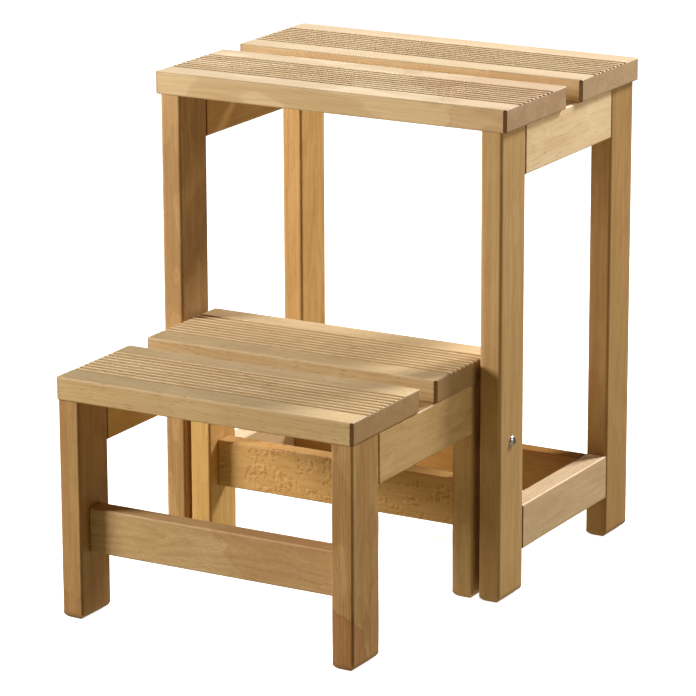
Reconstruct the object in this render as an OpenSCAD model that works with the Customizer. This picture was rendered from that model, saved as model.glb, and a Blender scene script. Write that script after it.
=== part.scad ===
// Two-step beech stool: a tall stool with a smaller step unit hung on two pivot bolts.
// The step unit stands in front of the tall stool and swings up and over into its frame.
// +X is right, -Y is the front, +Z is up. The pivot axis is the line y = 0 at pivot_h.

/* [Tall stool] */
// Height of the top tread's upper face above the floor
tall_h = 472; // [468:1:520]
// Width over the outer faces of the tall legs
tall_w = 364; // [350:1:420]
// How far each top tread reaches past the legs at its ends
tall_tread_overhang = 4.5; // [2:0.5:12]
// Height of the lower side rails' under face above the floor
side_rail_z = 42; // [30:1:60]
// Height of the lower side rails
side_rail_h = 43; // [36:1:48]
// Thickness of the rear rail
rear_rail_t = 18; // [15:1:22]

/* [Step unit] */
// Height of the step tread's upper face above the floor
step_h = 233; // [222:1:240]
// Gap between the step unit and the tall legs on each side
side_gap = 6; // [5:0.5:10]
// How far each step tread reaches past the legs at its ends
step_tread_overhang = 1; // [0:0.5:2]
// Height of the step's front rail's under face above the floor
front_rail_z = 64; // [40:1:80]
// Height of the step's front rail
front_rail_h = 43; // [36:1:48]
// Height of the step's rear rail's under face above the floor
step_rear_rail_z = 66; // [60:1:80]
// Height of the step's rear rail
step_rear_rail_h = 46; // [36:1:48]
// Thickness of the step's front and rear rails
step_rail_t = 20; // [15:1:22]

/* [Boards] */
// Thickness of the planed boards: treads, legs, top rails and side rails
board_t = 22; // [20:0.5:26]
// Depth of a leg from front to back
leg_d = 48; // [44:1:52]
// Height of the top rails under the treads
top_rail_h = 48; // [40:1:52]
// Depth of one tread
tread_d = 124; // [116:1:125]
// Open gap between the two treads of a pair
tread_gap = 30; // [24:1:32]
// How far a pair of treads reaches past the legs in front and behind
tread_nose = 2; // [1:0.5:4]
// Rounding of the long edges of treads and rails
edge_r = 2; // [1:0.5:3]
// Rounding of the tall legs' upright edges
tall_leg_r = 3; // [1.5:0.5:4]
// Rounding of the step legs' upright edges
step_leg_r = 2.2; // [1.4:0.2:4]
// Flat bevel of a tread's upright corners
tread_bevel = 2.6; // [1:0.2:4]
// Rounding of the upper and lower edges at a tread's ends
tread_end_r = 2; // [0.6:0.2:2.4]
// Easing of a rail's end edges, where it meets a leg
rail_end_r = 0.8; // [0.4:0.2:1.6]
// Rounding under the feet
foot_r = 9; // [4:1:9]

/* [Grooves] */
// Number of grip grooves in each tread
groove_count = 9; // [5:2:11]
// Distance from one groove to the next
groove_pitch = 8; // [7:0.5:9]
// Radius of the round-bottomed cutter
groove_r = 3.5; // [3:0.5:4]
// Depth of a groove
groove_depth = 1.6; // [1:0.2:2.4]

/* [Pivot hardware] */
// Height of the pivot axis above the floor
pivot_h = 154; // [150:1:156]
// Diameter of the pivot bolts' shanks
bolt_d = 6; // [5:1:8]
// Diameter of the bolts' domed heads
head_d = 10.5; // [10:0.5:14]
// Height of the bolts' domed heads
head_h = 3.3; // [3:0.1:4]
// Width across the corners of the socket in the bolt head
socket_d = 4.6; // [4:0.1:5]

/* [Dowels] */
// Diameter of the beech dowels
dowel_d = 8; // [6:1:8]
// Length of a dowel that joins a rail to a leg end to end
rail_dowel_l = 40; // [30:2:44]
// Length of a dowel that joins a cross rail into a leg's or a rail's face
cross_dowel_l = 34; // [30:2:36]
// Length of a dowel that stands up into a tread
tread_dowel_l = 38; // [32:2:44]

/* [Hidden] */
$fn = 64;

beech = [0.87, 0.71, 0.50];
pale_beech = [0.91, 0.78, 0.59];
golden_beech = [0.80, 0.61, 0.38];
dowel_wood = [0.85, 0.72, 0.55];
bright_steel = [0.78, 0.78, 0.80];
grey_nylon = [0.30, 0.30, 0.32];

// Legs of both units stand the same distance apart from front to back
frame_d = 2 * tread_d + tread_gap - 2 * tread_nose;
leg_pitch = frame_d - leg_d;
rail_l = leg_pitch - leg_d;
tread_to_leg = tread_d / 2 - leg_d / 2 - tread_nose;

tall_leg_x = tall_w / 2 - board_t / 2;
tall_leg_h = tall_h - board_t;
tall_inner_w = tall_w - 2 * board_t;
tall_tread_w = tall_w + 2 * tall_tread_overhang;
rear_rail_y = leg_pitch - leg_d / 2 - rear_rail_t / 2;
side_rail_mid_z = side_rail_z + side_rail_h / 2;

step_w = tall_inner_w - 2 * side_gap;
step_leg_x = step_w / 2 - board_t / 2;
step_leg_h = step_h - board_t;
step_inner_w = step_w - 2 * board_t;
step_tread_w = step_w + 2 * step_tread_overhang;

// Running clearance round a shank, and round a dowel in its hole
bore_clear = 0.05;
// Air left at the blind end of a dowel hole
hole_air = 1;
// Half the distance between the two dowels of a joint
dowel_step = 12;
// Distance from a leg's middle to its tread dowel, towards the tread's outer edge
leg_dowel_y = 10;
// Distance from a leg's middle to the tread dowel in the top rail
rail_dowel_y = 60;
// Length of a tread dowel that stands in the tread
dowel_in_tread = 11;
// Length of a cross dowel that stands in the leg's or side rail's face
dowel_in_face = 13;

// Upright side of the bolt head, below its dome
head_rim_h = 0.6;
head_dome_h = head_h - head_rim_h;
head_dome_r = (pow(head_d / 2, 2) + pow(head_dome_h, 2)) / (2 * head_dome_h);
socket_depth = 2;

washer_d = 16;
washer_t = 1.6;
// Axial play beside the step unit's legs
side_play = 0.15;
nut_t = 6;
nut_af = 10;
// Round nylon collar at the nut's outer end
nut_collar_t = 1.2;
nut_collar_d = 9;
// Reach of the shank past the nut
bolt_end = 1.5;
spacer_d = 22;
// Reach of the bolt shank from the tall leg's outer face
shank_l = 2 * board_t + side_gap + side_play + washer_t + nut_t + bolt_end;

// ---------- outlines ----------

// A circle of 4 sides at each corner makes a flat bevel, one of many sides a rounding
module rounded_rect(w, d, r, corner_sides = $fn) {
  square([w - 2 * r, d], center = true);
  square([w, d - 2 * r], center = true);
  for (sx = [-1, 1])
    for (sy = [-1, 1])
      translate([sx * (w / 2 - r), sy * (d / 2 - r)]) circle(r, $fn = corner_sides);
}

// Outline of a leg's end view, standing on the floor, with its lower corners rounded
module foot_outline(w, h, r) {
  translate([-w / 2, r]) square([w, h - r]);
  translate([r - w / 2, 0]) square([w - 2 * r, h - r]);
  for (s = [-1, 1])
    translate([s * (w / 2 - r), r]) circle(r);
}

// ---------- wooden pieces ----------

// A board along X, centred on the origin: its long edges have radius edge_r, the upright
// edges at its ends corner_r, and the upper and lower edges of its ends end_r
module board(w, d, h, corner_r, end_r, corner_sides = $fn) {
  intersection() {
    linear_extrude(h + 2, center = true) rounded_rect(w, d, corner_r, corner_sides);
    rotate([90, 0, 0]) linear_extrude(d + 2, center = true) rounded_rect(w, h, end_r);
    rotate([90, 0, 90]) linear_extrude(w + 2, center = true) rounded_rect(d, h, edge_r);
  }
}

// A rail along X, whose ends are only just eased
module rail(l, t, h) {
  board(l, t, h, rail_end_r, rail_end_r);
}

// The same along Y
module side_board(l, h) {
  rotate([0, 0, 90]) rail(l, board_t, h);
}

module leg(h, corner_r) {
  intersection() {
    linear_extrude(h) rounded_rect(board_t, leg_d, corner_r);
    rotate([90, 0, 0]) linear_extrude(leg_d + 2, center = true) foot_outline(board_t, h, foot_r);
    rotate([90, 0, 90]) linear_extrude(board_t + 2, center = true) foot_outline(leg_d, h, foot_r);
  }
}

// Grip grooves along a tread whose upper face is at z = 0
module grooves(w) {
  for (i = [0 : groove_count - 1])
    translate([0, (i - (groove_count - 1) / 2) * groove_pitch, groove_r - groove_depth])
      rotate([0, 90, 0]) cylinder(r = groove_r, h = w + 2, center = true);
}

// A tread centred in X and Y, with its upper face at z = 0
module tread(w) {
  difference() {
    translate([0, 0, -board_t / 2]) board(w, tread_d, board_t, tread_bevel, tread_end_r, 4);
    grooves(w);
  }
}

// ---------- dowels, and the holes that hold them ----------

// spare is 0 for the dowel itself; a hole is wider all round and longer at both ends
module peg(l, hole) {
  spare = hole ? bore_clear : 0;
  air = hole ? hole_air : 0;
  cylinder(d = dowel_d + 2 * spare, h = l + 2 * air, center = true);
}

// Two pegs along Y across the joint plane at joint_y
module rail_pegs(x, joint_y, mid_z, hole) {
  for (s = [-1, 1])
    translate([x, joint_y, mid_z + s * dowel_step])
      rotate([90, 0, 0]) peg(rail_dowel_l, hole);
}

// Pegs along X in the faces at x = +-face_x; side is the sign of x
module cross_pegs(side, face_x, y, heights, hole) {
  for (z = heights)
    translate([side * (face_x + dowel_in_face - cross_dowel_l / 2), y, z])
      rotate([0, 90, 0]) peg(cross_dowel_l, hole);
}

// A standing peg that reaches up into the tread above
module tread_peg(x, y, under_z, hole) {
  translate([x, y, under_z + dowel_in_tread - tread_dowel_l / 2]) peg(tread_dowel_l, hole);
}

// The four pegs of one tread; leg_y is its legs' middle, out is the way to its outer edge
module tread_pegs(leg_x, leg_y, out, under_z, hole) {
  for (s = [-1, 1]) {
    tread_peg(s * leg_x, leg_y + out * leg_dowel_y, under_z, hole);
    tread_peg(s * leg_x, leg_y - out * rail_dowel_y, under_z, hole);
  }
}

tall_top_mid_z = tall_leg_h - top_rail_h / 2;
step_top_mid_z = step_leg_h - top_rail_h / 2;
front_rail_mid_z = front_rail_z + front_rail_h / 2;
step_rear_rail_mid_z = step_rear_rail_z + step_rear_rail_h / 2;

module tall_rail_pegs(side, hole) {
  for (joint_y = [leg_d / 2, leg_pitch - leg_d / 2]) {
    rail_pegs(side * tall_leg_x, joint_y, tall_top_mid_z, hole);
    rail_pegs(side * tall_leg_x, joint_y, side_rail_mid_z, hole);
  }
}

module tall_rear_rail_pegs(side, hole) {
  cross_pegs(side, tall_inner_w / 2, rear_rail_y, [side_rail_mid_z], hole);
}

module step_top_rail_pegs(side, hole) {
  for (joint_y = [-leg_d / 2, leg_d / 2 - leg_pitch])
    rail_pegs(side * step_leg_x, joint_y, step_top_mid_z, hole);
}

module step_front_rail_pegs(side, hole) {
  heights = [front_rail_mid_z - dowel_step, front_rail_mid_z + dowel_step];
  cross_pegs(side, step_inner_w / 2, -leg_pitch, heights, hole);
}

module step_rear_rail_pegs(side, hole) {
  heights = [step_rear_rail_mid_z - dowel_step, step_rear_rail_mid_z + dowel_step];
  cross_pegs(side, step_inner_w / 2, 0, heights, hole);
}

// ---------- tall stool ----------

// Bore for a pivot bolt, right through the tall leg and the step leg beside it
module pivot_bore(side) {
  translate([side * tall_w / 4, 0, pivot_h])
    rotate([0, 90, 0]) cylinder(d = bolt_d + 2 * bore_clear, h = tall_w / 2 + 2, center = true);
}

module tall_tread(leg_y, out) {
  color(pale_beech)
  difference() {
    translate([0, leg_y - out * tread_to_leg, tall_h]) tread(tall_tread_w);
    tread_pegs(tall_leg_x, leg_y, out, tall_leg_h, true);
  }
}

module tall_front_leg(side) {
  color(beech)
  difference() {
    translate([side * tall_leg_x, 0, 0]) leg(tall_leg_h, tall_leg_r);
    tread_peg(side * tall_leg_x, -leg_dowel_y, tall_leg_h, true);
    tall_rail_pegs(side, true);
    pivot_bore(side);
  }
}

module tall_rear_leg(side) {
  color(golden_beech)
  difference() {
    translate([side * tall_leg_x, leg_pitch, 0]) leg(tall_leg_h, tall_leg_r);
    tread_peg(side * tall_leg_x, leg_pitch + leg_dowel_y, tall_leg_h, true);
    tall_rail_pegs(side, true);
  }
}

module tall_top_rail(side) {
  color(pale_beech)
  difference() {
    translate([side * tall_leg_x, leg_pitch / 2, tall_top_mid_z]) side_board(rail_l, top_rail_h);
    tall_rail_pegs(side, true);
    for (y = [rail_dowel_y, leg_pitch - rail_dowel_y])
      tread_peg(side * tall_leg_x, y, tall_leg_h, true);
  }
}

module tall_side_rail(side) {
  color(beech)
  difference() {
    translate([side * tall_leg_x, leg_pitch / 2, side_rail_mid_z]) side_board(rail_l, side_rail_h);
    tall_rail_pegs(side, true);
    tall_rear_rail_pegs(side, true);
  }
}

module tall_rear_rail() {
  color(golden_beech)
  difference() {
    translate([0, rear_rail_y, side_rail_mid_z])
      rail(tall_inner_w, rear_rail_t, side_rail_h);
    for (side = [-1, 1]) tall_rear_rail_pegs(side, true);
  }
}

// ---------- step unit ----------

module step_tread(leg_y, out) {
  color(beech)
  difference() {
    translate([0, leg_y - out * tread_to_leg, step_h]) tread(step_tread_w);
    tread_pegs(step_leg_x, leg_y, out, step_leg_h, true);
  }
}

module step_front_leg(side) {
  color(beech)
  difference() {
    translate([side * step_leg_x, -leg_pitch, 0]) leg(step_leg_h, step_leg_r);
    tread_peg(side * step_leg_x, -leg_pitch - leg_dowel_y, step_leg_h, true);
    step_top_rail_pegs(side, true);
    step_front_rail_pegs(side, true);
  }
}

module step_rear_leg(side) {
  color(beech)
  difference() {
    translate([side * step_leg_x, 0, 0]) leg(step_leg_h, step_leg_r);
    tread_peg(side * step_leg_x, leg_dowel_y, step_leg_h, true);
    step_top_rail_pegs(side, true);
    step_rear_rail_pegs(side, true);
    pivot_bore(side);
  }
}

module step_top_rail(side) {
  color(beech)
  difference() {
    translate([side * step_leg_x, -leg_pitch / 2, step_top_mid_z]) side_board(rail_l, top_rail_h);
    step_top_rail_pegs(side, true);
    for (y = [-rail_dowel_y, rail_dowel_y - leg_pitch])
      tread_peg(side * step_leg_x, y, step_leg_h, true);
  }
}

module step_front_rail() {
  color(beech)
  difference() {
    translate([0, -leg_pitch, front_rail_mid_z])
      rail(step_inner_w, step_rail_t, front_rail_h);
    for (side = [-1, 1]) step_front_rail_pegs(side, true);
  }
}

module step_rear_rail() {
  color(golden_beech)
  difference() {
    translate([0, 0, step_rear_rail_mid_z])
      rail(step_inner_w, step_rail_t, step_rear_rail_h);
    for (side = [-1, 1]) step_rear_rail_pegs(side, true);
  }
}

// ---------- pivot hardware ----------

// Moves a piece drawn for the right side to its own side
module on_side(side) {
  mirror([side < 0 ? 1 : 0, 0, 0]) children();
}

// Domed head with a hexagonal socket, on a plain shank
module pivot_bolt(side) {
  color(bright_steel)
  on_side(side) translate([tall_w / 2, 0, pivot_h]) rotate([0, 90, 0])
  difference() {
    union() {
      intersection() {
        cylinder(d = head_d, h = head_h);
        translate([0, 0, head_h - head_dome_r]) sphere(head_dome_r);
      }
      translate([0, 0, -shank_l]) cylinder(d = bolt_d, h = shank_l + head_h / 2);
    }
    translate([0, 0, head_h - socket_depth]) cylinder(d = socket_d, h = head_h, $fn = 6);
  }
}

module ring(outer_d, inner_d, t) {
  difference() {
    cylinder(d = outer_d, h = t);
    translate([0, 0, -1]) cylinder(d = inner_d, h = t + 2);
  }
}

// Fills the side gap, clear of the swinging leg
module pivot_spacer(side) {
  color(grey_nylon)
  on_side(side) translate([tall_inner_w / 2 - side_gap + side_play, 0, pivot_h]) rotate([0, 90, 0])
    ring(spacer_d, bolt_d + 2 * bore_clear, side_gap - side_play);
}

washer_x = step_inner_w / 2 - side_play - washer_t;

module pivot_washers() {
  color(bright_steel)
  for (side = [-1, 1])
    on_side(side) translate([washer_x, 0, pivot_h]) rotate([0, 90, 0])
      ring(washer_d, bolt_d + 2 * bore_clear, washer_t);
}

module lock_nut(side) {
  across_corners = nut_af / cos(30);
  color(bright_steel)
  on_side(side) translate([washer_x - nut_t, 0, pivot_h]) rotate([0, 90, 0])
  difference() {
    union() {
      cylinder(d = nut_collar_d, h = nut_t);
      translate([0, 0, nut_collar_t]) cylinder(d = across_corners, h = nut_t - nut_collar_t, $fn = 6);
    }
    translate([0, 0, -1]) cylinder(d = bolt_d + 2 * bore_clear, h = nut_t + 2);
  }
}

// ---------- dowels ----------

module tall_rail_dowels() {
  color(dowel_wood) for (side = [-1, 1]) tall_rail_pegs(side, false);
}

module tall_rear_rail_dowels() {
  color(dowel_wood) for (side = [-1, 1]) tall_rear_rail_pegs(side, false);
}

module tall_tread_dowels() {
  color(dowel_wood) {
    tread_pegs(tall_leg_x, 0, -1, tall_leg_h, false);
    tread_pegs(tall_leg_x, leg_pitch, 1, tall_leg_h, false);
  }
}

module step_top_rail_dowels() {
  color(dowel_wood) for (side = [-1, 1]) step_top_rail_pegs(side, false);
}

module step_cross_rail_dowels() {
  color(dowel_wood)
  for (side = [-1, 1]) {
    step_front_rail_pegs(side, false);
    step_rear_rail_pegs(side, false);
  }
}

module step_tread_dowels() {
  color(dowel_wood) {
    tread_pegs(step_leg_x, -leg_pitch, -1, step_leg_h, false);
    tread_pegs(step_leg_x, 0, 1, step_leg_h, false);
  }
}

tall_tread(0, -1);  // front_top_tread
tall_tread(leg_pitch, 1);  // rear_top_tread
tall_front_leg(-1);  // tall_front_left_leg
tall_front_leg(1);  // tall_front_right_leg
tall_rear_leg(-1);  // tall_rear_left_leg
tall_rear_leg(1);  // tall_rear_right_leg
tall_top_rail(-1);  // tall_left_top_rail
tall_top_rail(1);  // tall_right_top_rail
tall_side_rail(-1);  // tall_left_side_rail
tall_side_rail(1);  // tall_right_side_rail
tall_rear_rail();
step_tread(-leg_pitch, -1);  // front_step_tread
step_tread(0, 1);  // rear_step_tread
step_front_leg(-1);  // step_front_left_leg
step_front_leg(1);  // step_front_right_leg
step_rear_leg(-1);  // step_rear_left_leg
step_rear_leg(1);  // step_rear_right_leg
step_top_rail(-1);  // step_left_top_rail
step_top_rail(1);  // step_right_top_rail
step_front_rail();
step_rear_rail();
pivot_bolt(-1);  // left_pivot_bolt
pivot_bolt(1);  // right_pivot_bolt
pivot_spacer(-1);  // left_pivot_spacer
pivot_spacer(1);  // right_pivot_spacer
pivot_washers();
lock_nut(-1);  // left_lock_nut
lock_nut(1);  // right_lock_nut
tall_rail_dowels();
tall_rear_rail_dowels();
tall_tread_dowels();
step_top_rail_dowels();
step_cross_rail_dowels();
step_tread_dowels();
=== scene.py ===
"""A two-step beech stool: wood, metal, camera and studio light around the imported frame."""
import math

import bpy
from mathutils import Matrix, Vector


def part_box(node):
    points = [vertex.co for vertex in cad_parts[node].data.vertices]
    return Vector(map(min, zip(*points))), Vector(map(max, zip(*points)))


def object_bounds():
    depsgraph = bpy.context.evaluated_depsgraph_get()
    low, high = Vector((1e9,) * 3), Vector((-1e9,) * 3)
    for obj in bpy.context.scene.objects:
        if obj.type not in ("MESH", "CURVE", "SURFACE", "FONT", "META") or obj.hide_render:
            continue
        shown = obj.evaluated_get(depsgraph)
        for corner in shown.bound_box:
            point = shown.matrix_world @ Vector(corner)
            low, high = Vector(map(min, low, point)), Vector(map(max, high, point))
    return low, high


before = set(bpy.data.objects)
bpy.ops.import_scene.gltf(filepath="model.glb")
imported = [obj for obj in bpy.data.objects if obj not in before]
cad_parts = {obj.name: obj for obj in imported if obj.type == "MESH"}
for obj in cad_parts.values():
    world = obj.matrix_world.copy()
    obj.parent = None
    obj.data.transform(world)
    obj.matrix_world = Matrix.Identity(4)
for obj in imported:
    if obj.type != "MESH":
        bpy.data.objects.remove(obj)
cad_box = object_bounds()

MM = 0.001
BOX_LOW, BOX_HIGH = cad_box
MIDDLE = (BOX_LOW + BOX_HIGH) / 2
# How far the floor reaches, and how far it lies below the feet, in metres
FLOOR_SIZE = 30.0
FLOOR_GAP = 0.0002

# ---------- shader helpers ----------


class Graph:
    """Adds nodes to one shader tree. A value may be a number, a tuple or another node's output."""

    def __init__(self, tree):
        self.tree = tree

    def add(self, kind, inputs=None, **settings):
        node = self.tree.nodes.new(kind)
        for name, value in settings.items():
            setattr(node, name, value)
        for name, value in (inputs or {}).items():
            self.put(node.inputs[name], value)
        return node

    def put(self, socket, value):
        if isinstance(value, bpy.types.NodeSocket):
            self.tree.links.new(value, socket)
        else:
            socket.default_value = value

    def math(self, operation, a, b=0.0, clamp=False):
        node = self.add("ShaderNodeMath", {0: a, 1: b}, operation=operation, use_clamp=clamp)
        return node.outputs[0]

    def plus(self, a, b):
        return self.math("ADD", a, b)

    def minus(self, a, b):
        return self.math("SUBTRACT", a, b)

    def times(self, a, b):
        return self.math("MULTIPLY", a, b)

    def share(self, value, amount, most=1.0):
        """The value times its amount, kept between 0 and 1."""
        return self.math("MULTIPLY", self.times(value, amount), most, clamp=True)

    def vector(self, operation, a, b):
        return self.add("ShaderNodeVectorMath", {0: a, 1: b}, operation=operation).outputs[0]

    def distance(self, a, b):
        node = self.add("ShaderNodeVectorMath", {0: a, 1: b}, operation="DISTANCE")
        return node.outputs["Value"]

    def split(self, vector):
        return self.add("ShaderNodeSeparateXYZ", {0: vector}).outputs

    def join(self, x, y, z):
        return self.add("ShaderNodeCombineXYZ", {0: x, 1: y, 2: z}).outputs[0]

    def fade(self, value, low, high, low_value=0.0, high_value=1.0):
        """Goes smoothly from low_value at low to high_value at high."""
        inputs = {"Value": value, "From Min": low, "From Max": high}
        inputs.update({"To Min": low_value, "To Max": high_value})
        node = self.add("ShaderNodeMapRange", inputs, interpolation_type="SMOOTHSTEP")
        return node.outputs[0]

    def noise(self, vector, size, detail=2.0):
        """Cloud noise, from 0 to 1, whose lumps have this size in the vector's units."""
        scaled = self.vector("DIVIDE", vector, size)
        inputs = {"Vector": scaled, "Scale": 1.0, "Detail": detail}
        return self.add("ShaderNodeTexNoise", inputs).outputs["Fac"]

    def spots(self, vector, size, reach, amount):
        """Soft spots in cells of this size: a radius up to reach cells, in an amount of the cells."""
        scaled = self.vector("DIVIDE", vector, size)
        cells = self.add("ShaderNodeTexVoronoi", {"Vector": scaled, "Scale": 1.0}).outputs
        kind = self.split(cells["Color"])[0]
        least = 1.0 - amount
        chosen = self.fade(kind, least - 0.04, least + 0.04)
        return self.times(self.fade(cells["Distance"], reach, 0.5 * reach), chosen)

    def mix(self, share, a, b, blend="MIX"):
        # The node's colours are its inputs 6 and 7 and its output 2: other kinds share their names
        node = self.add("ShaderNodeMix", data_type="RGBA", blend_type=blend)
        self.put(node.inputs["Factor"], share)
        self.put(node.inputs[6], a)
        self.put(node.inputs[7], b)
        return node.outputs[2]

    def tint(self, colour, share, tone):
        """Multiplies the colour by a tone, as far as share says."""
        return self.mix(share, colour, (*tone, 1.0), "MULTIPLY")


def new_material(name):
    material = bpy.data.materials.new(name)
    material.use_nodes = True
    material.node_tree.nodes.clear()
    return material, Graph(material.node_tree)


def finish_material(graph, surface_inputs, height):
    """Adds the surface shader, with a bump whose height is in millimetres."""
    bump = graph.add("ShaderNodeBump", {"Height": height, "Distance": MM, "Strength": 1.0})
    surface = graph.add("ShaderNodeBsdfPrincipled", {**surface_inputs, "Normal": bump.outputs[0]})
    output = graph.add("ShaderNodeOutputMaterial")
    graph.tree.links.new(surface.outputs[0], output.inputs["Surface"])


def dress(node, material):
    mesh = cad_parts[node].data
    mesh.materials.clear()
    mesh.materials.append(material)


# ---------- beech ----------

# Tones that a feature multiplies into its board's own tone
LATE_WOOD = (0.80, 0.68, 0.52)
FIBRE = (0.86, 0.78, 0.66)
FLECK = (0.60, 0.44, 0.30)
RED_HEART = (0.84, 0.68, 0.64)
PALE_CLOUD = (1.14, 1.20, 1.30)
RAY = (1.18, 1.26, 1.36)
KNOT = (0.36, 0.22, 0.14)
END_GRAIN = (0.74, 0.68, 0.64)
# Painted shade, with some real colour: below a lit top, in grooves (cut grain), at joints (dirt) and on
# upright corners
SHADE_BELOW_TOP = (0.70, 0.63, 0.53)
CUT_GROOVE_AND_SHADE = (0.48, 0.38, 0.30)
PAINTED_EDGE_SHADE = (0.48, 0.36, 0.24)
JOINT_DIRT_AND_SHADE = (0.42, 0.28, 0.16)

# What a piece's wood shows where its own look says nothing else. Most are 0 for none, 1 for plenty.
# stain is a redder heart beyond stain_at, in mm along the piece from its middle: on the side of
# stain_way, with an edge that leans by stain_lean. edge_mm is the width of the painted shade on the
# upright edges.
# worn_top is painted light: the top face keeps the board's pale tone and the rest of the board is
# painted darker.
# pith is the log's middle, in mm across and through the board, and taper widens the rings along it.
PLAIN_LOOK = {
    "rings": 0.5, "ring_mm": 2.6, "pith": (4.0, -46.0), "taper": 0.02, "fibre": 0.6,
    "flecks": 0.4, "clouds": 0.3, "patches": 0.0, "stain": 0.0, "stain_at": 0.0, "stain_way": 1.0,
    "stain_lean": 1.0, "rays": 0.0, "curls": 0.0, "knots": 0.0, "joints": 0.0,
    "worn_top": 0.0, "grooves": 0.0, "edges": 0.0, "edge_mm": 2.0,
}
LOOK_FLOATS = [name for name in PLAIN_LOOK if name != "pith"]

# What a place on a piece tells the wood: 1 on an end face, the depth below the top face, 1 inside
# the outline seen from above, and the distances to the joint and to the upright edges
PLACE_FLOATS = ["end", "depth", "inside", "to_joint", "to_edge"]

# Sizes in millimetres: how far the pith wanders and the stain's edge waves, and the lumps of curls
PITH_WANDER = 16.0
STAIN_WAVE = 46.0
CURL_SIZE = (4.6, 4.6, 4.6)


def growth_rings(graph, given):
    """Late wood, in rings around the log's pith, which wanders slowly along the board."""
    place = given["place"]
    x, y, z = graph.split(place)
    wander = graph.noise(place, (150.0, 38.0, 38.0))
    radius = graph.distance(graph.join(0.0, y, z), given["pith"])
    radius = graph.plus(radius, graph.times(wander, PITH_WANDER))
    radius = graph.plus(radius, graph.times(x, given["taper"]))
    year = graph.math("DIVIDE", radius, given["ring_mm"])
    ring = graph.math("FRACT", year)
    late_wood = graph.times(graph.fade(ring, 0.35, 0.86), graph.fade(ring, 1.0, 0.93))
    weather = graph.noise(graph.join(year, 0.0, 0.0), (1.4, 1.0, 1.0))
    return graph.times(late_wood, graph.fade(weather, 0.35, 0.65, 0.35, 1.0))


def dark_dashes(graph, place):
    """The flecks of beech: short dashes along the grain, and fewer long ones."""
    elsewhere = graph.vector("ADD", place, (13.0, 7.0, 5.0))
    short_dash = graph.spots(elsewhere, (12.0, 1.7, 1.7), reach=0.34, amount=0.40)
    long_dash = graph.spots(place, (26.0, 2.8, 2.8), reach=0.26, amount=0.30)
    return graph.math("MAXIMUM", short_dash, long_dash)


def wavy_rays(graph, place):
    """Fine pale lines that wave along the grain."""
    wave = graph.times(graph.noise(place, (13.0, 13.0, 13.0), 1.0), 9.0)
    wavy = graph.vector("ADD", place, graph.join(0.0, wave, wave))
    return graph.fade(graph.noise(wavy, (6.5, 0.9, 0.9)), 0.56, 0.66)


def small_curls(graph, place, lump):
    """Bird's-eye wood: the slope of its small lumps, in some zones more than in others."""
    beside = graph.vector("ADD", place, (1.4, -1.1, 0.6))
    slope = graph.minus(lump, graph.noise(beside, CURL_SIZE, 1.0))
    zone = graph.fade(graph.noise(place, (22.0, 14.0, 14.0)), 0.44, 0.58, 0.1, 1.0)
    return graph.times(slope, zone)


def red_heart(graph, given):
    """The stained part of the board, and the thin rim along its wavy, leaning edge."""
    board_x, board_y = graph.split(given["board"])[:2]
    wave = graph.minus(graph.noise(given["place"], (26.0, 13.0, 13.0), 1.0), 0.5)
    lean = graph.times(board_y, given["stain_lean"])
    edge_shift = graph.plus(graph.times(wave, STAIN_WAVE), lean)
    from_start = graph.times(graph.minus(board_x, given["stain_at"]), given["stain_way"])
    past_edge = graph.plus(from_start, edge_shift)
    stain = graph.fade(past_edge, -0.7, 0.7)
    rim = graph.times(graph.fade(past_edge, -3.5, 0.0), graph.fade(past_edge, 3.5, 0.0))
    return stain, rim


def wood_sockets(tree):
    """Adds the inputs and outputs of the wood group."""
    kinds = {"place": "Vector", "board": "Vector", "pith": "Vector", "tone": "Color"}
    kinds.update({name: "Float" for name in PLACE_FLOATS + LOOK_FLOATS})
    for name, kind in kinds.items():
        tree.interface.new_socket(name, in_out="INPUT", socket_type="NodeSocket" + kind)
    for name, kind in {"Colour": "Color", "Roughness": "Float", "Height": "Float"}.items():
        tree.interface.new_socket(name, in_out="OUTPUT", socket_type="NodeSocket" + kind)


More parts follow.
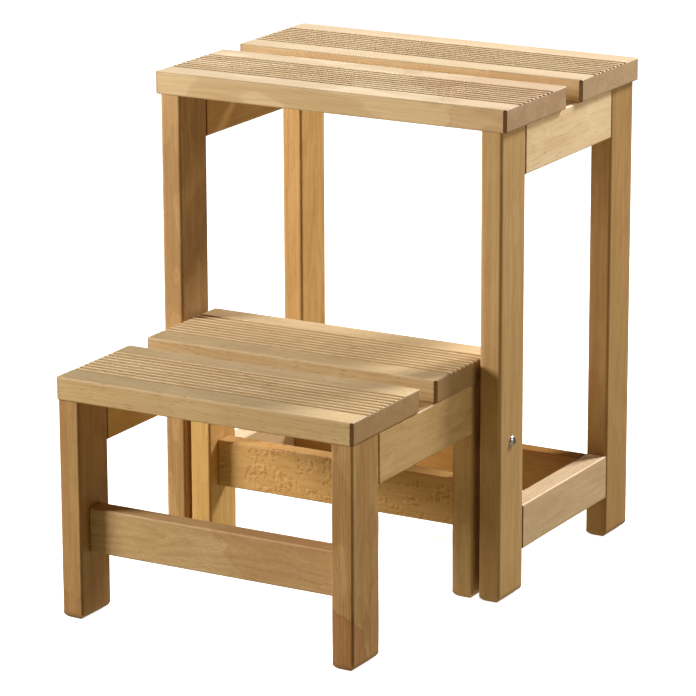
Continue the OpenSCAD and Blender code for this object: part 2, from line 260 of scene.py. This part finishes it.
def wood_group():
    """Beech in its own millimetres: x runs along the grain, y across the board, z through it."""
    tree = bpy.data.node_groups.new("beech", "ShaderNodeTree")
    wood_sockets(tree)
    graph = Graph(tree)
    given = graph.add("NodeGroupInput").outputs
    place = given["place"]

    fibre = graph.noise(place, (22.0, 0.8, 0.8), 3.0)
    streak = graph.noise(place, (120.0, 4.5, 4.5), 3.0)
    marks = dark_dashes(graph, place)
    lump = graph.noise(place, CURL_SIZE, 1.0)
    curl = small_curls(graph, place, lump)
    stain, stain_rim = red_heart(graph, given)
    cloud = graph.fade(graph.noise(place, (62.0, 24.0, 24.0), 1.0), 0.50, 0.60)
    other_place = graph.vector("ADD", place, (310.0, 90.0, 40.0))
    patch = graph.fade(graph.noise(other_place, (70.0, 22.0, 22.0), 1.0), 0.52, 0.535)
    knot_place = graph.vector("ADD", place, (55.0, 21.0, 3.0))
    knot = graph.spots(knot_place, (90.0, 30.0, 30.0), reach=0.05, amount=0.35)
    knot = graph.share(knot, given["knots"])
    pore = graph.spots(place, (6.0, 0.75, 0.75), reach=0.42, amount=0.70)
    pore = graph.share(pore, given["end"])
    ring_share = graph.plus(given["rings"], graph.times(given["end"], 0.5))

    # Masks from the board's shape for painted shade below the top face, in grooves, at joints and on
    # upright edges, with the grooves' cut grain and the joints' dirt: depths and distances are in
    # millimetres
    below_top = graph.fade(given["depth"], 0.1, 1.0)
    near_top = graph.fade(given["depth"], 3.0, 2.0)
    in_groove = graph.share(graph.times(below_top, near_top), given["inside"])
    in_joint = graph.fade(given["to_joint"], 1.5, 0.7)
    on_edge = graph.math("LESS_THAN", given["to_edge"], given["edge_mm"])

    colour = given["tone"]
    tints = [
        (growth_rings(graph, given), ring_share, 0.75, LATE_WOOD),
        (graph.fade(fibre, 0.34, 0.66), given["fibre"], 0.45, FIBRE),
        (graph.fade(streak, 0.42, 0.62), given["fibre"], 0.50, LATE_WOOD),
        (cloud, given["clouds"], 1.0, PALE_CLOUD),
        (patch, given["patches"], 1.0, PALE_CLOUD),
        (stain, given["stain"], 1.0, RED_HEART),
        (stain_rim, given["stain"], 0.6, LATE_WOOD),
        (wavy_rays(graph, place), given["rays"], 1.0, RAY),
        (graph.fade(curl, 0.05, 0.12), given["curls"], 0.8, RAY),
        (graph.fade(curl, -0.05, -0.11), given["curls"], 1.0, LATE_WOOD),
        (marks, given["flecks"], 0.9, FLECK),
        (knot, 1.0, 1.0, KNOT),
        (given["end"], 1.0, 1.0, END_GRAIN),
        (pore, 1.0, 0.45, FLECK),
        # Painted light and shade: the top face stays pale while sides, ends and bottom are painted
        # darker
        (below_top, given["worn_top"], 1.0, SHADE_BELOW_TOP),
        # Grooves: the cut grain's darker tone plus painted shade in the recess
        (in_groove, given["grooves"], 1.0, CUT_GROOVE_AND_SHADE),
        # Joints: dirt plus painted shade where a rail meets a leg
        (in_joint, given["joints"], 1.0, JOINT_DIRT_AND_SHADE),
        # Upright edges: painted shade on the corners between faces
        (on_edge, given["edges"], 1.0, PAINTED_EDGE_SHADE),
    ]
    for where, amount, most, tone in tints:
        colour = graph.tint(colour, graph.share(where, amount, most), tone)

    smear = graph.noise(place, (60.0, 24.0, 24.0))
    roughness = graph.fade(smear, 0.3, 0.7, 0.40, 0.50)
    roughness = graph.plus(roughness, graph.times(fibre, 0.08))
    roughness = graph.plus(roughness, graph.times(given["end"], 0.16))

    # Heights are in millimetres
    height = graph.times(fibre, 0.012)
    height = graph.plus(height, graph.times(graph.noise(place, (30.0, 9.0, 9.0)), 0.10))
    height = graph.plus(height, graph.times(graph.share(lump, given["curls"]), 0.12))
    for pit, depth in [(marks, 0.02), (pore, 0.03), (knot, 0.06)]:
        height = graph.minus(height, graph.times(pit, depth))

    result = graph.add("NodeGroupOutput")
    for name, value in {"Colour": colour, "Roughness": roughness, "Height": height}.items():
        graph.put(result.inputs[name], value)
    return tree


BEECH = wood_group()

# Which of the frame's axes run along, across and through a piece of each kind
GRAIN = {"tread": (0, 1, 2), "leg": (2, 1, 0), "side": (1, 2, 0), "cross": (0, 2, 1)}


def dress_in_wood(node, kind, tone, shift, sheen=0.03, **look):
    """Gives a CAD piece its own board, cut shift millimetres along the log."""
    material, graph = new_material("beech_" + node)
    low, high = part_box(node)
    half_size = (high - low) / 2 / MM
    along, across, through = GRAIN[kind]
    spot = graph.add("ShaderNodeTexCoord").outputs
    from_middle = graph.vector("SUBTRACT", spot["Object"], tuple((low + high) / 2))
    in_mm = graph.split(graph.vector("DIVIDE", from_middle, (MM, MM, MM)))
    board = graph.join(in_mm[along], in_mm[across], in_mm[through])
    end_on = graph.math("ABSOLUTE", graph.split(spot["Normal"])[along])

    wanted = {**PLAIN_LOOK, **look}
    inputs = {name: wanted[name] for name in LOOK_FLOATS}
    inputs["pith"] = (0.0, *wanted["pith"])
    inputs["board"] = board
    inputs["place"] = graph.vector("ADD", board, (shift, 0.0, 0.0))
    inputs["end"] = graph.fade(end_on, 0.45, 0.85)
    to_side = [graph.minus(half_size[i], graph.math("ABSOLUTE", in_mm[i])) for i in range(3)]
    inputs["depth"] = graph.minus(half_size.z, in_mm[2])
    inputs["inside"] = graph.fade(graph.math("MINIMUM", to_side[0], to_side[1]), 0.2, 1.0)
    inputs["to_joint"] = to_side[along]
    inputs["to_edge"] = graph.plus(to_side[0], to_side[1])
    inputs["tone"] = (*tone, 1.0)
    wood = graph.add("ShaderNodeGroup", node_tree=BEECH)
    for name, value in inputs.items():
        graph.put(wood.inputs[name], value)
    surface = {
        "Base Color": wood.outputs["Colour"], "Roughness": wood.outputs["Roughness"],
        "IOR": 1.48, "Coat Weight": 0.15, "Coat Roughness": 0.30,
        "Sheen Weight": sheen, "Sheen Roughness": 0.5, "Sheen Tint": (1.0, 0.90, 0.84, 1.0),
    }
    finish_material(graph, surface, wood.outputs["Height"])
    dress(node, material)


# The boards' own tones
CREAM = (0.95, 0.72, 0.45)
BUTTER = (0.92, 0.69, 0.39)
STRAW = (0.82, 0.56, 0.28)
HONEY = (0.70, 0.45, 0.20)
FAWN = (0.60, 0.38, 0.17)
AMBER = (0.76, 0.46, 0.15)
GOLDEN = (0.67, 0.39, 0.13)
TAN = (0.60, 0.37, 0.15)
BROWN = (0.50, 0.28, 0.10)
DARK_AMBER = (0.43, 0.20, 0.04)

# Treads get painted light on their tops, and painted shade on their upright corners and in their
# grooves
TREAD = {"worn_top": 1.0, "edges": 0.8, "edge_mm": 2.9, "fibre": 0.5}
TOP_TREAD = {**TREAD, "sheen": 0.28, "grooves": 1.0, "flecks": 0.1}
STEP_TREAD = {**TREAD, "grooves": 0.4, "flecks": 0.6}
dress_in_wood(
    "front_top_tread", "tread", BUTTER, 0.0, clouds=1.0, stain=0.4, stain_at=70.0, **TOP_TREAD
)
dress_in_wood("rear_top_tread", "tread", BUTTER, 620.0, **TOP_TREAD)
dress_in_wood("front_step_tread", "tread", BUTTER, 1240.0, **STEP_TREAD)
dress_in_wood("rear_step_tread", "tread", BUTTER, 1860.0, **STEP_TREAD)

# Legs get a little painted shade on their upright corners
LEG = {"edges": 0.35, "fibre": 0.9}
dress_in_wood("tall_front_left_leg", "leg", BROWN, 2600.0, knots=1.0, patches=0.9, **LEG)
dress_in_wood("tall_front_right_leg", "leg", TAN, 3200.0, flecks=0.2, **LEG)
dress_in_wood("tall_rear_left_leg", "leg", GOLDEN, 3800.0, rings=0.8, **LEG)
dress_in_wood("tall_rear_right_leg", "leg", BROWN, 4400.0, flecks=0.2, **LEG)
dress_in_wood(
    "step_front_left_leg", "leg", BROWN, 7200.0, stain=0.4, stain_at=-60.0, stain_way=-1.0, **LEG
)
dress_in_wood(
    "step_front_right_leg", "leg", BROWN, 7600.0,
    patches=1.0, rings=0.9, stain=1.0, stain_at=-90.0, stain_way=-1.0, stain_lean=-1.5, **LEG
)
dress_in_wood("step_rear_left_leg", "leg", AMBER, 8000.0, **LEG)
dress_in_wood("step_rear_right_leg", "leg", HONEY, 8400.0, **LEG)

RAIL = {"joints": 0.8}
dress_in_wood("tall_left_top_rail", "side", GOLDEN, 5000.0, **RAIL)
dress_in_wood("tall_right_top_rail", "side", CREAM, 5400.0, flecks=0.35, **RAIL)
# These side rails get painted light on their tops
dress_in_wood("tall_left_side_rail", "side", CREAM, 5800.0, worn_top=1.0, sheen=0.2, **RAIL)
dress_in_wood("tall_right_side_rail", "side", CREAM, 6200.0, worn_top=1.0, sheen=0.2, knots=0.6, **RAIL)
dress_in_wood("tall_rear_rail", "cross", DARK_AMBER, 6600.0, sheen=0.0, **RAIL)
dress_in_wood("step_left_top_rail", "side", AMBER, 8800.0, **RAIL)
dress_in_wood("step_right_top_rail", "side", HONEY, 9200.0, clouds=0.8, **RAIL)
dress_in_wood("step_front_rail", "cross", FAWN, 9600.0, rays=1.0, stain=0.45, stain_at=20.0, **RAIL)
dress_in_wood("step_rear_rail", "cross", GOLDEN, 10000.0, curls=1.0, **RAIL)

DOWEL_NODES = {
    "tall_rail_dowels": "side", "tall_rear_rail_dowels": "cross", "tall_tread_dowels": "leg",
    "step_top_rail_dowels": "side", "step_cross_rail_dowels": "cross", "step_tread_dowels": "leg",
}
for place_in_log, (node, kind) in enumerate(DOWEL_NODES.items()):
    dress_in_wood(node, kind, STRAW, 11000.0 + 500.0 * place_in_log, rings=0.2)

# ---------- metal and nylon ----------


def steel():
    """Zinc-plated steel, with faint scratches and a slightly mottled shine."""
    material, graph = new_material("zinc_plated_steel")
    spot = graph.add("ShaderNodeTexCoord").outputs["Object"]
    in_mm = graph.vector("DIVIDE", spot, (MM, MM, MM))
    mottle = graph.noise(in_mm, (1.6, 1.6, 1.6), 3.0)
    scratch = graph.noise(in_mm, (2.5, 0.12, 0.9), 2.0)
    colour = graph.mix(mottle, (0.48, 0.48, 0.50, 1.0), (0.68, 0.68, 0.70, 1.0))
    colour = graph.tint(colour, graph.fade(scratch, 0.58, 0.70), (0.80, 0.78, 0.76))
    roughness = graph.fade(mottle, 0.3, 0.7, 0.18, 0.34)
    surface = {"Base Color": colour, "Roughness": roughness, "Metallic": 1.0}
    finish_material(graph, surface, graph.times(scratch, 0.01))
    return material


def nylon():
    """Dark moulded nylon with a fine spark-eroded grain."""
    material, graph = new_material("moulded_nylon")
    spot = graph.add("ShaderNodeTexCoord").outputs["Object"]
    in_mm = graph.vector("DIVIDE", spot, (MM, MM, MM))
    grain = graph.noise(in_mm, (0.35, 0.35, 0.35), 2.0)
    wear = graph.noise(in_mm, (5.0, 5.0, 5.0), 2.0)
    colour = graph.mix(wear, (0.020, 0.020, 0.022, 1.0), (0.045, 0.045, 0.047, 1.0))
    roughness = graph.fade(wear, 0.3, 0.7, 0.45, 0.62)
    surface = {"Base Color": colour, "Roughness": roughness}
    finish_material(graph, surface, graph.times(grain, 0.03))
    return material


STEEL = steel()
NYLON = nylon()
for node in ["left_pivot_bolt", "right_pivot_bolt", "pivot_washers", "left_lock_nut", "right_lock_nut"]:
    dress(node, STEEL)
for node in ["left_pivot_spacer", "right_pivot_spacer"]:
    dress(node, NYLON)

# ---------- camera ----------

VIEW_TURN = math.radians(29.63)
VIEW_DROP = math.radians(15.49)
VIEW_ROLL = math.radians(-0.21)
VIEW_DISTANCE = 3.671
VIEW_AIM = MIDDLE + Vector((0.0077, 0.0, -0.0157))
LENS_MM = 201.36


def add_camera():
    data = bpy.data.cameras.new("camera")
    data.lens = LENS_MM
    data.clip_end = 2 * FLOOR_SIZE
    camera = bpy.data.objects.new("camera", data)
    bpy.context.scene.collection.objects.link(camera)
    level = math.cos(VIEW_DROP)
    back = Vector((math.sin(VIEW_TURN) * level, -math.cos(VIEW_TURN) * level, math.sin(VIEW_DROP)))
    camera.location = VIEW_AIM + back * VIEW_DISTANCE
    turned = Matrix.Rotation(VIEW_TURN, 3, "Z")
    tilted = Matrix.Rotation(math.pi / 2 - VIEW_DROP, 3, "X")
    rolled = Matrix.Rotation(VIEW_ROLL, 3, "Z")
    camera.rotation_euler = (turned @ tilted @ rolled).to_euler()
    bpy.context.scene.camera = camera


add_camera()

# ---------- floor and light ----------

LIGHT_DISTANCE = 2.4


def add_floor():
    """A white sheet that stays bright to its far edge."""
    half = FLOOR_SIZE / 2
    mesh = bpy.data.meshes.new("floor")
    corners = [(-half, -half, 0.0), (half, -half, 0.0), (half, half, 0.0), (-half, half, 0.0)]
    mesh.from_pydata(corners, [], [(0, 1, 2, 3)])
    floor = bpy.data.objects.new("floor", mesh)
    bpy.context.scene.collection.objects.link(floor)
    floor.location.z = BOX_LOW.z - FLOOR_GAP
    material, graph = new_material("white_sheet")
    spot = graph.add("ShaderNodeTexCoord").outputs["Object"]
    weave = graph.noise(spot, (0.004, 0.004, 0.004))
    surface = {
        "Base Color": graph.mix(weave, (0.90, 0.90, 0.90, 1.0), (0.93, 0.93, 0.93, 1.0)),
        "Roughness": 0.9, "Emission Color": (1.0, 1.0, 1.0, 1.0), "Emission Strength": 0.9,
    }
    finish_material(graph, surface, graph.times(weave, 0.01))
    mesh.materials.append(material)
    floor.visible_diffuse = False
    floor.visible_glossy = False


def add_softbox(name, turn, rise, power, size):
    """A square soft light that faces the object. turn is 0 at the front and 90 at the right."""
    data = bpy.data.lights.new(name, "AREA")
    data.shape = "SQUARE"
    data.size = size
    data.energy = power
    light = bpy.data.objects.new(name, data)
    bpy.context.scene.collection.objects.link(light)
    turn, rise = math.radians(turn), math.radians(rise)
    out = Vector((math.sin(turn) * math.cos(rise), -math.cos(turn) * math.cos(rise), math.sin(rise)))
    light.location = MIDDLE + out * LIGHT_DISTANCE
    light.rotation_euler = out.to_track_quat("Z", "Y").to_euler()


def add_room_light(above, below, colour):
    """Even light from the room: one brightness above the horizon, another below it."""
    world = bpy.data.worlds.new("room")
    bpy.context.scene.world = world
    world.use_nodes = True
    world.node_tree.nodes.clear()
    graph = Graph(world.node_tree)
    height = graph.split(graph.add("ShaderNodeTexCoord").outputs["Generated"])[2]
    strength = graph.fade(height, -0.05, 0.05, below, above)
    background = graph.add("ShaderNodeBackground", {"Color": (*colour, 1.0), "Strength": strength})
    output = graph.add("ShaderNodeOutputWorld")
    graph.tree.links.new(background.outputs[0], output.inputs["Surface"])


add_floor()
add_softbox("rear_right_key", 153, 37, 64.0, size=0.5)
add_softbox("left_fill", -58, 18, 73.0, size=0.7)
add_softbox("right_fill", 92, 22, 9.0, size=0.9)
add_room_light(0.03, 0.40, (1.0, 0.88, 0.50))
bpy.context.scene.view_settings.view_transform = "Standard"
